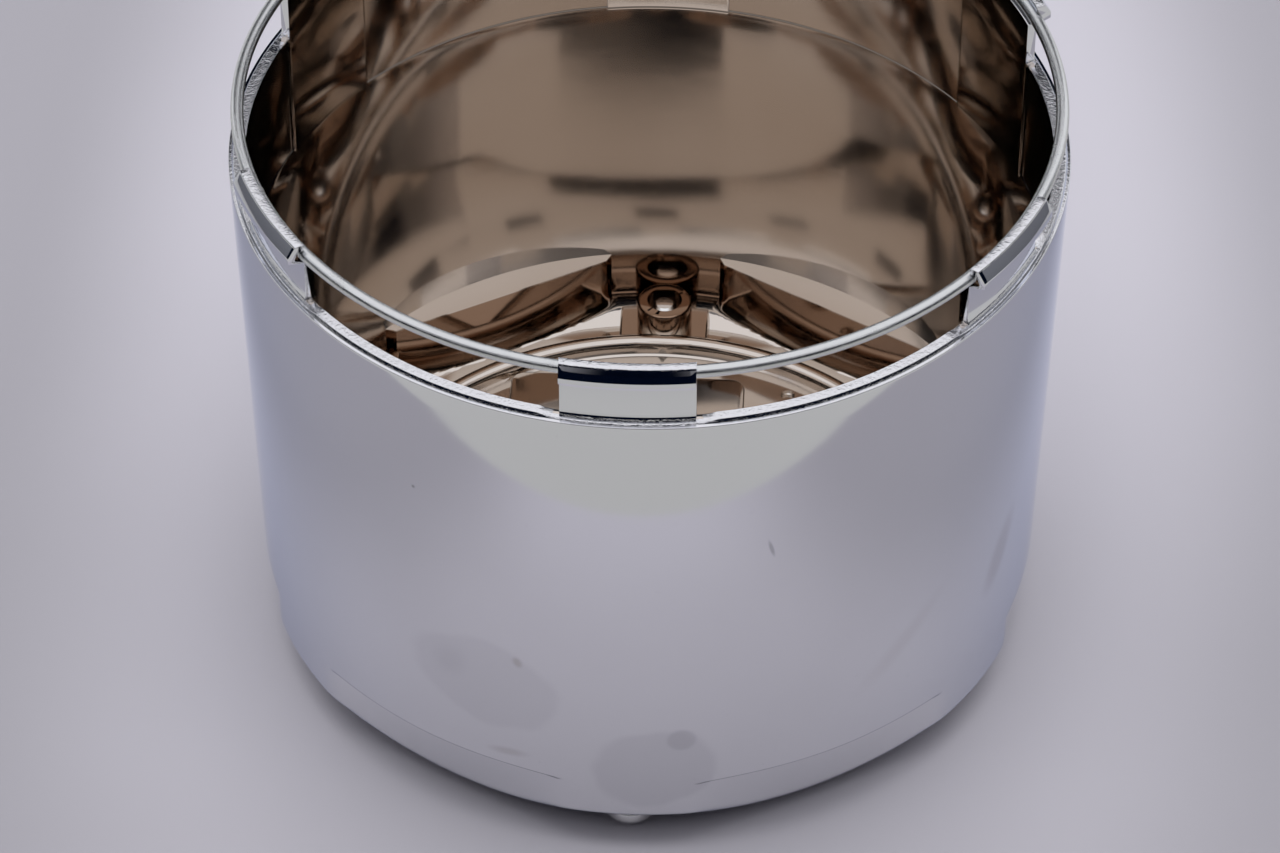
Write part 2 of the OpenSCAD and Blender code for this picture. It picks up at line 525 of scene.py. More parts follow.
@dataclass(frozen=True)
class Smudge:
    """A mark on the outside plating.

    Attributes:
        turn: Direction from the near tab in degrees, to the right.
        height: Height of its middle above the surface that the cap stands on.
        wide: Half its width along the wall.
        high: Half its height.
        lean: Angle that it is turned by, in degrees.
        dark: Share of light that it takes.
        dull: Roughness that it adds.
        soft: Share of its size over which it fades.
        brown: Whether it is a brown stain and not a grey film.
    """

    turn: float
    height: float
    wide: float
    high: float
    lean: float
    dark: float
    dull: float
    soft: float
    brown: bool = False

    def cover(self, along: Value, up: Value, wobble: Value, radius: float) -> Value:
        """Gives how far the mark covers a place, from 0 to 1.

        Args:
            along: Distance round the wall from the near tab.
            up: Height above the surface that the cap stands on.
            wobble: Noise that breaks the mark's edge.
            radius: Radius of the wall.

        Returns:
            The cover.
        """
        lean = math.radians(self.lean)
        du = along - math.radians(self.turn) * radius
        dv = up - self.height
        across = (du * math.cos(lean) + dv * math.sin(lean)) / self.wide
        upwards = (dv * math.cos(lean) - du * math.sin(lean)) / self.high
        far = (across * across + upwards * upwards).root() + wobble * 0.5
        return far.between(1.0 - self.soft, 1.0 + self.soft, 1.0, 0.0)


@dataclass(frozen=True)
class OutsidePlating:
    """Bright chrome plating with handling marks, a painted shade line along the step's edge, and a
    burred bright rim.
    """

    colour: Colour = (0.735, 0.735, 0.755)
    edge_colour: Colour = (0.80, 0.84, 0.94)
    stain_colour: Colour = (0.42, 0.39, 0.35)
    film_colour: Colour = (0.38, 0.38, 0.40)
    # Painted shade line along the edge of the step
    crease_shade_colour: Colour = (0.20, 0.20, 0.22)
    film_share: float = 0.25
    film_tone: float = 0.94
    film_dull: float = 0.03
    speck_share: float = 0.10
    crease_shade_share: float = 0.75
    most_cover: float = 0.9
    most_rough: float = 0.5
    roughness: float = 0.055
    wall_radius: float = 64.0
    rim_height: float = 92.9
    tab_top: float = 103.7
    burr_bump: float = 0.10
    streak_bump: float = 0.0015
    ripple_bump: float = 0.05
    film_bump: float = 0.0004
    marks: tuple[Smudge, ...] = (
        Smudge(-21.0, 32.8, 12.0, 8.8, -4, 0.14, 0.035, 0.10),
        Smudge(-15.5, 39.3, 0.7, 1.0, 20, 0.45, 0.10, 0.6, True),
        Smudge(-26.0, 35.2, 2.4, 3.0, -35, 0.12, 0.06, 0.7),
        Smudge(-17.3, 18.5, 2.6, 0.7, 5, 0.30, 0.10, 0.7, True),
        Smudge(7.6, 25.0, 2.3, 2.2, 0, 0.24, 0.05, 0.2),
        Smudge(4.4, 18.5, 10.0, 8.5, 10, 0.20, 0.03, 0.10),
        Smudge(19.5, 64.9, 0.3, 1.6, 15, 0.65, 0.10, 0.5),
        Smudge(-30.4, 70.2, 0.28, 0.3, 0, 0.90, 0.20, 0.4),
        Smudge(-4.0, 99.7, 0.75, 0.25, 5, 0.85, 0.10, 0.4),
        Smudge(41.5, 33.5, 1.6, 8.0, -50, 0.14, 0.05, 0.8, True),
        Smudge(63.4, 35.0, 2.6, 6.5, -28, 0.36, 0.06, 0.5, True),
    )

    def build(self) -> Material:
        """Makes the material.

        Returns:
            The material.
        """
        s = Shader("outside_plating")
        x, y, z, where = s.place()
        along = x.angle_to(y * -1.0) * self.wall_radius
        wobble = s.noise(where, scale=90.0, detail=2.0) - 0.5
        dark: dict[bool, Value | float] = {True: 0.0, False: 0.0}
        dull: Value | float = 0.0
        for mark in self.marks:
            cover = mark.cover(along, z, wobble, self.wall_radius)
            dark[mark.brown] = cover * mark.dark + dark[mark.brown]
            dull = cover * mark.dull + dull
        film = s.noise(where, scale=28.0, detail=4.0, rough=0.55).between(0.42, 0.75)
        specks = s.noise(where, scale=900.0, detail=2.0, rough=0.6).between(0.735, 0.76)
        tint = s.blend(film * self.film_share, self.colour, tone(self.colour, self.film_tone))
        tint = s.blend((dark[False] + specks * self.speck_share).least(self.most_cover),
                       tint, self.film_colour)
        tint = s.blend(dark[True].least(self.most_cover), tint, self.stain_colour)
        # Painted shade: a dark line along the edge of the step, where shade falls in the crease
        crease = Value(s, s.node("ShaderNodeAttribute", {"attribute_name": CREASE_SHADE}).outputs["Fac"])
        tint = s.blend(crease.between(0.1, 0.9) * self.crease_shade_share, tint, self.crease_shade_colour)
        s.set(base_color=tint, metallic=1.0, specular_tint=self.edge_colour,
              roughness=(dull + film * self.film_dull + self.roughness).least(self.most_rough),
              normal=s.bump(self._relief(s, where, along, z) + film * self.film_bump))
        return s.material

    def _relief(self, s: Shader, where: Socket, along: Value, z: Value) -> Value:
        """Gives the burrs of the rim and the tabs, the moulding's streaks and its ripple.

        Args:
            s: The shader.
            where: The place as a vector.
            along: Distance round the wall from the near tab.
            z: Height.

        Returns:
            The height in millimetres.
        """
        burr = z.band((self.rim_height - 0.75, self.rim_height - 0.35),
                      (self.rim_height + 0.05, self.rim_height + 0.4)) \
            + z.between(self.tab_top - 0.25, self.tab_top - 0.05)
        burrs = s.noise(where, scale=1500.0, detail=3.0, rough=0.7)
        streaks = s.noise(s.vector(along * 0.9, z * 0.012, 0.0), scale=1.0, detail=3.0, rough=0.6)
        ripple = s.noise(where, scale=14.0, detail=1.0)
        return burrs * burr * self.burr_bump + streaks * self.streak_bump \
            + ripple * self.ripple_bump


@dataclass(frozen=True)
class InsidePlating:
    """Thinner plating inside the cap, which reads as warm bronze, with painted shade: darker and
    browner deeper in the cup and in the pockets by the pads, and a dark line at the ledge.
    """

    colour: Colour = (0.64, 0.585, 0.535)
    # Painted shade deeper in the cup, in the pockets and in the crease at the ledge
    deep_shade_colour: Colour = (0.53, 0.45, 0.38)
    pocket_shade_colour: Colour = (0.30, 0.20, 0.14)
    crease_shade_colour: Colour = (0.10, 0.085, 0.07)
    edge_colour: Colour = (0.78, 0.75, 0.72)
    cloud_share: float = 0.15
    deep_shade_share: float = 0.45
    crease_shade_share: float = 0.85
    roughness: float = 0.05
    cloud_dull: float = 0.04
    grain_dull: float = 0.02
    cloud_bump: float = 0.012
    band_bump: float = 0.016
    ledge_height: float = 70.25

    def build(self) -> Material:
        """Makes the material.

        Returns:
            The material.
        """
        s = Shader("inside_plating")
        x, y, z, where = s.place()
        cloud = s.noise(where, scale=22.0).between(0.3, 0.75)
        grain = s.noise(where, scale=700.0, detail=2.0, rough=0.6)
        bands = s.noise(s.vector(x.angle_to(y) * 1.6, z * 0.11, 0.0), scale=1.0)
        # Painted shade: darker and browner lower in the cup, darkest in the pockets by the pads,
        # and a dark line in the crease at the ledge
        deep_shade = z.band((19.0, 27.0), (36.0, 64.0))
        pocket = z.band((7.5, 9.0), (17.7, 18.0))
        crease = z.band((self.ledge_height - 0.25, self.ledge_height - 0.1),
                        (self.ledge_height + 0.1, self.ledge_height + 0.25))
        tint = s.blend((cloud * self.cloud_share + deep_shade * self.deep_shade_share).least(1.0),
                       self.colour, self.deep_shade_colour)
        tint = s.blend(pocket, tint, self.pocket_shade_colour)
        tint = s.blend(crease * self.crease_shade_share, tint, self.crease_shade_colour)
        s.set(base_color=tint, metallic=1.0, specular_tint=self.edge_colour,
              roughness=cloud * self.cloud_dull + grain * self.grain_dull + self.roughness,
              normal=s.bump(cloud * self.cloud_bump + bands * self.band_bump))
        return s.material


@dataclass(frozen=True)
class SpringWire:
    """Bright drawn and plated spring wire."""

    colour: Colour = (0.65, 0.66, 0.66)
    spot_tone: float = 0.78
    spot_share: float = 0.4
    roughness: float = 0.18
    draw_dull: float = 0.10
    spot_dull: float = 0.12
    draw_bump: float = 0.05

    def build(self) -> Material:
        """Makes the material.

        Returns:
            The material.
        """
        s = Shader("spring_wire")
        x, y, z, where = s.place()
        along = s.vector(x.angle_to(y * -1.0) * 4.0, z * 6.0, (x * x + y * y).root() * 6.0)
        draw = s.noise(along, scale=1.0, detail=4.0, rough=0.7)
        spots = s.noise(where, scale=240.0, rough=0.6).between(0.55, 0.8)
        tint = s.blend(spots * self.spot_share, self.colour, tone(self.colour, self.spot_tone))
        s.set(base_color=tint, metallic=1.0,
              roughness=draw * self.draw_dull + spots * self.spot_dull + self.roughness,
              normal=s.bump(draw * self.draw_bump, strength=0.8))
        return s.material


@dataclass(frozen=True)
class BoltPlating:
    """Bright plated bolt."""

    colour: Colour = (0.78, 0.78, 0.77)
    wear_tone: float = 0.7
    wear_share: float = 0.5
    roughness: float = 0.12
    wear_dull: float = 0.16
    wear_bump: float = 0.03

    def build(self) -> Material:
        """Makes the material.

        Returns:
            The material.
        """
        s = Shader("bolt_plating")
        wear = s.noise(s.place()[-1], scale=420.0, detail=4.0, rough=0.65)
        tint = s.blend(wear.between(0.5, 0.8) * self.wear_share, self.colour,
                       tone(self.colour, self.wear_tone))
        s.set(base_color=tint, metallic=1.0, roughness=wear * self.wear_dull + self.roughness,
              normal=s.bump(wear * self.wear_bump))
        return s.material


# --------------------------------------------------------------------- the cap


@dataclass(frozen=True)
class CapSizes:
    """Sizes of the cap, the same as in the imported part."""

    rim_r: float = 65.0
    rim_z: float = 92.9
    foot_r: float = 62.8
    face_z: float = 2.2
    face_t: float = 2.6
    rim_wall: float = 2.6
    foot_wall: float = 3.2
    bevel_w: float = 5.8
    bevel_h: float = 5.8
    floor_round_r: float = 6.4
    ledge_drop: float = 22.7
    lip_w: float = 0.7
    lip_h: float = 0.6
    relief_side: float = 2.4
    relief_h: float = 0.3
    tabs: int = 6
    tab_w: float = 20.0
    tab_h: float = 10.8
    wire_d: float = 2.0
    wire_r: float = 63.2
    wire_up: float = 8.8
    flat_inset: float = 3.8
    flat_h: float = 12.9
    flat_wall: float = 4.2
    pocket_w: float = 19.0
    pocket_rise: float = 3.0
    seat_r: float = 44.0
    seat_deep: float = 0.8
    rib_r: float = 50.0
    rib_w: float = 3.0
    rib_h: float = 3.0
    bolt_r: float = 55.2

    @property
    def floor_z(self) -> float:
        """Height of the floor inside."""
        return self.face_z + self.face_t

    @property
    def foot_z(self) -> float:
        """Height at which the wall starts to widen."""
        return self.floor_z + self.floor_round_r

    @property
    def bevel_z(self) -> float:
        """Height of the top of the bevel round the front face."""
        return self.face_z + self.bevel_h

    @property
    def step_z(self) -> float:
        """Height of the step above the flat sides."""
        return self.face_z + self.flat_h

    @property
    def lip_z(self) -> float:
        """Height of the low lip round the rim."""
        return self.rim_z - self.lip_h

    @property
    def tab_step(self) -> float:
        """Angle between tabs in radians."""
        return FULL_TURN / self.tabs

    def from_tab(self, x: float, y: float) -> float:
        """Gives the angle of a place to the nearest tab in radians, always positive."""
        turn = math.atan2(x, -y) % self.tab_step
        return min(turn, self.tab_step - turn)

    def from_middle(self, x: float, y: float) -> float:
        """Gives the angle of a place to the middle of the nearest flat side in radians."""
        return self.tab_step / 2 - self.from_tab(x, y)

    def flat_share(self, from_middle: float) -> float:
        """Gives an angle from the middle of a flat side as a share of half the side's reach."""
        return abs(from_middle) / math.acos(1.0 - self.flat_inset / self.foot_r)

    def wall_r(self, z: float) -> float:
        """Gives the radius of the outside of the wall at a height."""
        share = (z - self.foot_z) / (self.lip_z - self.foot_z)
        return self.foot_r + share * (self.rim_r - self.foot_r)


@dataclass
class CapShell:
    """The plated one-piece shell: wall, face, tabs, rib, bosses and plate."""

    sizes: CapSizes
    steps: int = 360

    # Roundings beside the flat sides, the step above them and the stepped rim
    flat_blend: float = 1.0
    edge_blend: float = 0.45
    blend_rise: float = 3.0
    inside_blend: float = 0.4
    pocket_side_run: float = 0.9
    above_step: float = 4.0
    step_edge: float = 0.22
    step_arch: float = 0.5
    step_drop: float = 1.05
    ledge_step: float = 0.12
    lip_lean: float = 0.3
    rim_top_w: float = 1.5

    # Snap tabs
    tab_edge: float = 0.13
    tab_reach: float = 11.0
    tab_in: float = 0.4
    neck_t: float = 1.5
    nose_out: float = 1.0
    nose_h: float = 1.1
    nose_low: float = 1.7
    lead_w: float = 1.2
    lead_h: float = 1.8
    head_t: float = 2.6
    wire_gap: float = 0.05

    # What stands on the floor inside, and how deep it is sunk into the floor
    sunk: float = 0.5
    pedestal_w: float = 15.2
    pedestal_h: float = 2.6
    pedestal_far: float = 58.7
    boss_r: float = 4.7
    boss_h: float = 6.85
    boss_edge: float = 0.5
    plate_w: float = 40.0
    plate_l: float = 22.0
    plate_h: float = 1.2
    plate_at: Point = (-5.5, 30.7)
    plate_corner: float = 2.4

    # What is cut out for the bolts and the gate mark
    recess_r: float = 4.8
    recess_top: float = 4.5
    hole_r: float = 2.05
    hole_top: float = 7.5
    boss_hole_r: float = 3.0
    gate_r: float = 1.2
    gate_in_r: float = 1.0
    gate_deep: float = 0.8
    gate_out: float = 45.1
    gate_turn: float = 61.0

    def build(self) -> Thing:
        """Builds the whole shell.

        Returns:
            The shell with its outside and inside faces marked.
        """
        shell = self._skins()
        for made in (self._snap_tabs(), self._pedestals(), self._bosses(), self._blank_plate()):
            join_solid(shell, made, Joining.ADD)
        for cutter in (self._bolt_cuts(), self._gate_mark()):
            join_solid(shell, cutter, Joining.CUT)
        self._mark_inside(shell)
        self._paint_crease_shade(shell)
        shade(shell)
        return shell

    # The two turned skins

    def _outer_profile(self) -> list[Point]:
        """Half section of the outside, from the middle of the seat to the top of the rim.

        Returns:
            The corners of the section.
        """
        c = self.sizes
        seat_z = c.face_z + c.seat_deep
        face_r = c.foot_r - c.bevel_w
        slope = [(c.foot_r - c.bevel_w * (1.0 - k / 16), c.face_z + c.bevel_h * k / 16, 0.0)
                 for k in range(2, 14)]
        foot = [(0.0, seat_z, 0.0), (c.seat_r * 0.6, seat_z, 0.0), (c.seat_r, seat_z, 0.15),
                (c.seat_r, c.face_z, 0.15), (face_r, c.face_z, 0.8)] + slope \
            + [(c.foot_r, c.bevel_z, 1.3), (c.foot_r, c.foot_z, 0.0)]
        wall = [c.step_z + self.step_edge, c.step_z + 2 * self.step_edge] \
            + [c.step_z + 1.0 + i * (c.lip_z - c.step_z - 1.4) / 22 for i in range(22)]
        step = [(c.wall_r(c.step_z), c.step_z), (c.wall_r(c.step_z) + SAME, c.step_z)]
        side = c.rim_r - c.lip_w
        lip = [(c.rim_r, c.lip_z - 0.4, 0.0), (c.rim_r, c.lip_z, 0.15),
               (side + self.lip_lean / 2, c.lip_z, 0.06),
               (side - self.lip_lean / 2, c.rim_z, 0.12),
               (c.rim_r - self.rim_top_w, c.rim_z, 0.0)]
        return rounded(foot) \
            + [(c.wall_r(z), z) for z in (c.foot_z + 1.3, c.foot_z + 2.6, c.step_z - 0.25)] \
            + step + [(c.wall_r(z), z) for z in wall] + rounded(lip)

    def _inner_profile(self) -> list[Point]:
        """Half section of the inside, from the top of the rim to the middle of the floor.

        Returns:
            The corners of the section.
        """
        c = self.sizes
        in_r = c.rim_r - c.rim_wall
        low_r = in_r - self.ledge_step
        ledge_z = c.rim_z - c.ledge_drop
        foot_in = c.foot_r - c.foot_wall
        pocket_z = c.step_z + c.pocket_rise
        half = c.rib_w / 2

        def cone(z: float) -> Point:
            """Point of the wall below the ledge."""
            return foot_in + (low_r - foot_in) * (z - c.foot_z) / (ledge_z - c.foot_z), z

        upper = [(in_r, c.rim_z - 0.2 - i * (c.ledge_drop - 1.0) / 8) for i in range(9)]
        lower = [cone(ledge_z - 1.0 - i * (ledge_z - pocket_z - 1.15) / 20) for i in range(21)]
        pocket = [cone(pocket_z - 0.15 - i * (pocket_z - 0.15 - c.foot_z) / 5) for i in range(5)]
        pocket_r = cone(pocket_z)[0]
        return [(c.rim_r - self.rim_top_w, c.rim_z), (in_r + 0.2, c.rim_z)] + upper \
            + [(in_r, ledge_z + self.ledge_step), (low_r, ledge_z), (low_r, ledge_z - 0.3)] \
            + lower + [(pocket_r, pocket_z), (pocket_r - SAME, pocket_z)] + pocket \
            + arc((foot_in - c.floor_round_r, c.foot_z), c.floor_round_r, 0, -90, 18) \
            + [(c.rib_r + half + 0.3, c.floor_z), (c.rib_r + half, c.floor_z + 0.3)] \
            + arc((c.rib_r, c.floor_z + c.rib_h - half), half, 0, 180, 12) \
            + [(c.rib_r - half, c.floor_z + 0.3), (c.rib_r - half - 0.3, c.floor_z)] \
            + [(r, c.floor_z) for r in (42.0, 30.0, 15.0, 0.0)]

    def _skins(self) -> Thing:
        """Turns both skins, presses the flat sides in and joins them at the rim.

        Returns:
            The shell without what is added.
        """
        outer = turned_profile(self._outer_profile(), self.steps)
        self._press_outside(outer)
        inner = turned_profile(self._inner_profile(), self.steps)
        self._press_inside(inner)
        part = bpy.data.meshes.new("part")
        inner.to_mesh(part)
        inner.free()
        outer.from_mesh(part)
        bpy.data.meshes.remove(part)
        self._sink_reliefs(outer)
        bmesh.ops.remove_doubles(outer, verts=outer.verts[:], dist=2e-3)
        bmesh.ops.dissolve_degenerate(outer, edges=outer.edges[:], dist=1e-3)
        face_outwards(outer)
        return to_object(outer, "cap_shell_smooth")

    def _press_outside(self, bm: Mesh) -> None:
        """Moves the foot of the turned outside in to six flat sides below the step.

        Args:
            bm: The turned mesh.
        """
        c = self.sizes
        flat_r = c.foot_r - c.flat_inset
        edge_r = c.wall_r(c.step_z) + SAME / 2
        for vert in bm.verts:
            x, y, z = vert.co
            r = math.hypot(x, y)
            if r < c.seat_r + 4.0 or z > c.step_z + self.above_step:
                continue
            from_middle = c.from_middle(x, y)
            chord = flat_r / math.cos(from_middle)
            rise = self._step_rise(from_middle)
            at_step = abs(z - c.step_z) < SAME
            if z > c.step_z + SAME or (at_step and r > edge_r):
                r_new = r - (self.step_edge * smooth_step(r - chord) if at_step else 0.0)
                rise *= 1.0 - (z - c.step_z) / self.above_step
            else:
                blend = self.edge_blend + (self.flat_blend - self.edge_blend) \
                    * smooth_step((z - c.bevel_z) / self.blend_rise + 1.0)
                r_new = soft_min(r, chord, blend)
                rise *= smooth_step((z - c.bevel_z) / (c.step_z - c.bevel_z))
            vert.co = (x * r_new / r, y * r_new / r, z + rise)

    def _press_inside(self, bm: Mesh) -> None:
        """Moves the foot of the turned inside in to six chords with a pocket at each pad.

        Args:
            bm: The turned mesh.
        """
        c = self.sizes
        flat_r = c.foot_r - c.flat_inset - c.flat_wall
        step_z = c.step_z + c.pocket_rise
        edge_r = max(math.hypot(v.co.x, v.co.y) for v in bm.verts
                     if abs(v.co.z - step_z) < SAME) - SAME / 2
        for vert in bm.verts:
            x, y, z = vert.co
            r = math.hypot(x, y)
            if r < c.rib_r + c.rib_w or z > step_z + SAME \
                    or (abs(z - step_z) < SAME and r > edge_r):
                continue
            chord = flat_r / math.cos(c.from_middle(x, y))
            share = smooth_step((edge_r * math.sin(c.from_tab(x, y)) - c.pocket_w / 2)
                                / self.pocket_side_run)
            r_new = r + (soft_min(r, chord, self.inside_blend) - r) * share
            vert.co = (x * r_new / r, y * r_new / r, z)

    def _step_rise(self, from_middle: float) -> float:
        """Gives how far the step's edge lies above its height.

        Args:
            from_middle: Angle from the middle of a flat side in radians.

        Returns:
            The rise, which fades out on the round pads.
        """
        share = self.sizes.flat_share(from_middle)
        fade = 1.0 - smooth_step((share - 1.0) / 0.25)
        return (self.step_arch - self.step_drop * min(1.0, share) ** 3) * fade

    def _sink_reliefs(self, bm: Mesh) -> None:
        """Lowers the top of the rim a little in front of each tab.

        Args:
            bm: The turned mesh.
        """
        c = self.sizes
        half = c.tab_w / 2 + c.relief_side
        for vert in bm.verts:
            x, y, z = vert.co
            if z > c.lip_z + 1e-4:
                side = math.hypot(x, y) * math.sin(c.from_tab(x, y))
                share = 1.0 - smooth_step((side - half + 0.3) / 0.6)
                vert.co.z -= c.relief_h * share * (z - c.lip_z) / c.lip_h

    # What is added

    def _snap_tabs(self) -> Thing:
        """Builds the six snap tabs with their wire grooves.

        Returns:
            The tabs.
        """
        c = self.sizes
        in_r = c.rim_r - c.rim_wall - self.tab_in
        neck_r = in_r + self.neck_t
        nose_r = c.rim_r + self.nose_out
        top_z = c.rim_z + c.tab_h
        nose_z = top_z - self.lead_h
        wire_z = c.rim_z + c.wire_up
        groove = c.wire_d / 2 + self.wire_gap
        low_z = c.rim_z - c.ledge_drop - 0.3
        root_z = c.rim_z - 1.0
        top_in = nose_r - self.head_t
        mouth = math.degrees(math.acos((top_in - c.wire_r) / groove))
        section = [(in_r, low_z), (in_r + 1.2, low_z), (in_r + 1.2, root_z),
                   (neck_r + 0.4, root_z), (neck_r + 0.4, c.rim_z - c.relief_h),
                   (neck_r + 0.12, c.rim_z + 0.35), (neck_r, c.rim_z + 1.0),
                   (neck_r, nose_z - self.nose_low), (nose_r, nose_z - self.nose_h),
                   (nose_r, nose_z), (nose_r - self.lead_w, top_z), (top_in, top_z)] \
            + arc((c.wire_r, wire_z), groove, mouth, -90, 10) + [(in_r, wire_z - groove)]
        reach = math.radians(self.tab_reach)
        bm = turned_profile(section, 22, closed=True, angle=2 * reach)
        rotate(bm, bm.verts[:], -QUARTER_TURN - reach)
        for side in (-1.0, 1.0):
            cut = bmesh.ops.bisect_plane(bm, geom=bm.verts[:] + bm.edges[:] + bm.faces[:],
                                         plane_co=(side * c.tab_w / 2, 0, 0),
                                         plane_no=(side, 0, 0), clear_outer=True)
            rim = [g for g in cut["geom_cut"] if isinstance(g, bmesh.types.BMEdge)]
            bmesh.ops.edgeloop_fill(bm, edges=rim)
        face_outwards(bm)
        bevel_corners(bm, self.tab_edge, 2)
        repeat_round(bm, c.tabs)
        return to_object(bm, "tool_tabs")

    def _pedestals(self) -> Thing:
        """Builds the six pedestals under the bosses.

        Returns:
            The pedestals.
        """
        c = self.sizes
        near, far = c.rib_r - c.rib_w / 2, self.pedestal_far
        low, high = c.floor_z - self.sunk, c.floor_z + self.pedestal_h
        bm = box((self.pedestal_w, far - near, high - low),
                 (0.0, -(near + far) / 2, (low + high) / 2))
        bevel_corners(bm, 0.4, 3)
        repeat_round(bm, c.tabs)
        return to_object(bm, "tool_pedestals")

    def _bosses(self) -> Thing:
        """Builds the six round bosses.

        Returns:
            The bosses.
        """
        floor_z, edge = self.sizes.floor_z, self.boss_edge
        top = floor_z + self.boss_h
        return self._at_bolts("tool_bosses", [(0.0, floor_z + 2.0), (self.boss_r, floor_z + 2.0),
                                              (self.boss_r, top - edge)]
                              + arc((self.boss_r - edge, top - edge), edge, 0, 90, 4)
                              + [(0.0, top)])

    def _bolt_cuts(self) -> Thing:
        """Builds what is cut out for the bolts: head recess, shank hole and open boss.

        Returns:
            The cutters.
        """
        open_r, top = self.boss_hole_r, 13.0
        return self._at_bolts("tool_bolt_cuts", [
            (0.0, -1.0), (self.recess_r, -1.0), (self.recess_r, self.recess_top),
            (self.hole_r, self.recess_top), (self.hole_r, self.hole_top),
            (open_r - 0.1, self.hole_top), (open_r, self.hole_top + 0.1), (open_r, top),
            (0.0, top)])

    def _at_bolts(self, name: str, section: list[Point]) -> Thing:
        """Turns a half section at the place of each bolt.

        Args:
            name: Name of the object.
            section: Distance from the bolt's axis and height of each corner.

        Returns:
            The six turned solids.
        """
        bm = turned_profile(section)
        shift(bm, 0.0, -self.sizes.bolt_r)
        face_outwards(bm)
        repeat_round(bm, self.sizes.tabs)
        return to_object(bm, name)

    def _blank_plate(self) -> Thing:
        """Builds the raised blank plate on the floor.

        Returns:
            The plate.
        """
        low, high = self.sizes.floor_z - self.sunk, self.sizes.floor_z + self.plate_h
        bm = box((self.plate_w, self.plate_l, high - low), (*self.plate_at, (low + high) / 2))
        upright = [e for e in bm.edges if abs(e.verts[0].co.z - e.verts[1].co.z) > 0.1]
        bevel(bm, upright, self.plate_corner, 8)
        bevel_corners(bm, 0.25, 3, 40.0)
        return to_object(bm, "tool_plate")

    def _gate_mark(self) -> Thing:
        """Builds the small round pit of the gate mark.

        Returns:
            The cutter.
        """
        floor_z, turn = self.sizes.floor_z, math.radians(self.gate_turn)
        low = floor_z - self.gate_deep
        bm = turned_profile([(0.0, low), (self.gate_in_r, low), (self.gate_r, floor_z - 0.6),
                             (self.gate_r, floor_z + 1.0), (0.0, floor_z + 1.0)], 32)
        shift(bm, self.gate_out * math.cos(turn), self.gate_out * math.sin(turn))
        face_outwards(bm)
        return to_object(bm, "tool_gate")

    # What is marked

    def _mark_inside(self, shell: Thing) -> None:
        """Gives the faces inside the cup the inside plating.

        Args:
            shell: The finished shell.
        """
        c = self.sizes
        wall_mid = c.foot_r - c.flat_inset - c.flat_wall / 2
        for face in shell.data.polygons:
            x, y, z = face.center / MM
            r, turn = math.hypot(x, y), c.from_tab(x, y)
            side, ahead = r * math.sin(turn), r * math.cos(turn)
            within = r < c.wall_r(z) - 1.2 and 3.6 < z < c.rim_z - 0.3
            beside = z > c.step_z + 1.0 or side < c.pocket_w / 2 + 0.6 \
                or r < wall_mid / math.cos(c.from_middle(x, y))
            above = r < c.foot_r - c.bevel_w + (z - c.face_z) * c.bevel_w / c.bevel_h - 1.8
            in_recess = math.hypot(side, ahead - c.bolt_r) < self.recess_r + 0.1 \
                and z < self.recess_top + 0.1
            at_face = z < 4.0 and r > c.seat_r + 2.4
            inside = within and beside and above and not in_recess and not at_face
            face.material_index = (Skin.INSIDE if inside else Skin.OUTSIDE).value

    def _paint_crease_shade(self, shell: Thing) -> None:
        """Marks the edge of the step above the flat sides for a painted shade line in the crease.

        Args:
            shell: The finished shell.
        """
        c = self.sizes
        marks = shell.data.attributes.new(CREASE_SHADE, "FLOAT", "POINT")
        for i, vert in enumerate(shell.data.vertices):
            x, y, z = vert.co / MM
            if math.hypot(x, y) < c.wall_r(c.step_z) - 0.6 or abs(z - c.step_z) > 2.0:
                continue
            from_middle = c.from_middle(x, y)
            above = z - c.step_z - self._step_rise(from_middle)
            if -0.03 < above < 1.3 * self.step_edge:
                share = c.flat_share(from_middle)
                marks.data[i].value = 1.0 - smooth_step((share - 0.98) / 0.04)


@dataclass
class WireRing:
    """The spring wire ring behind the heads of the tabs."""

    sizes: CapSizes
    gap: float = 6.0
    gap_turn: float = 150.0
    steps: int = 300
    sides: int = 24
    end_round: float = 0.6

    def build(self) -> Thing:
        """Builds the open ring with rounded ends.

        Returns:
            The ring.
        """
        c = self.sizes
        radius = c.wire_d / 2
        half = math.asin(self.gap / 2 / c.wire_r)
        bm = bmesh.new()
        bmesh.ops.create_circle(bm, segments=self.sides, radius=radius, cap_ends=False)
        rotate(bm, bm.verts[:], QUARTER_TURN, "X")
        shift(bm, c.wire_r, 0.0, c.rim_z + c.wire_up)
        spin(bm, FULL_TURN - 2 * half, self.steps)
        open_edges = [e for e in bm.edges if e.is_boundary]
        ends = bmesh.ops.holes_fill(bm, edges=open_edges, sides=self.sides)["faces"]
        rims = [e for e in bm.edges if any(face in ends for face in e.link_faces)]
        bevel(bm, rims, radius * self.end_round, 5)
        rotate(bm, bm.verts[:], math.radians(self.gap_turn - 90.0) + half)
        face_outwards(bm)
        ring = to_object(bm, "retaining_ring_smooth")
        shade(ring, crease_degrees=50.0)
        return ring


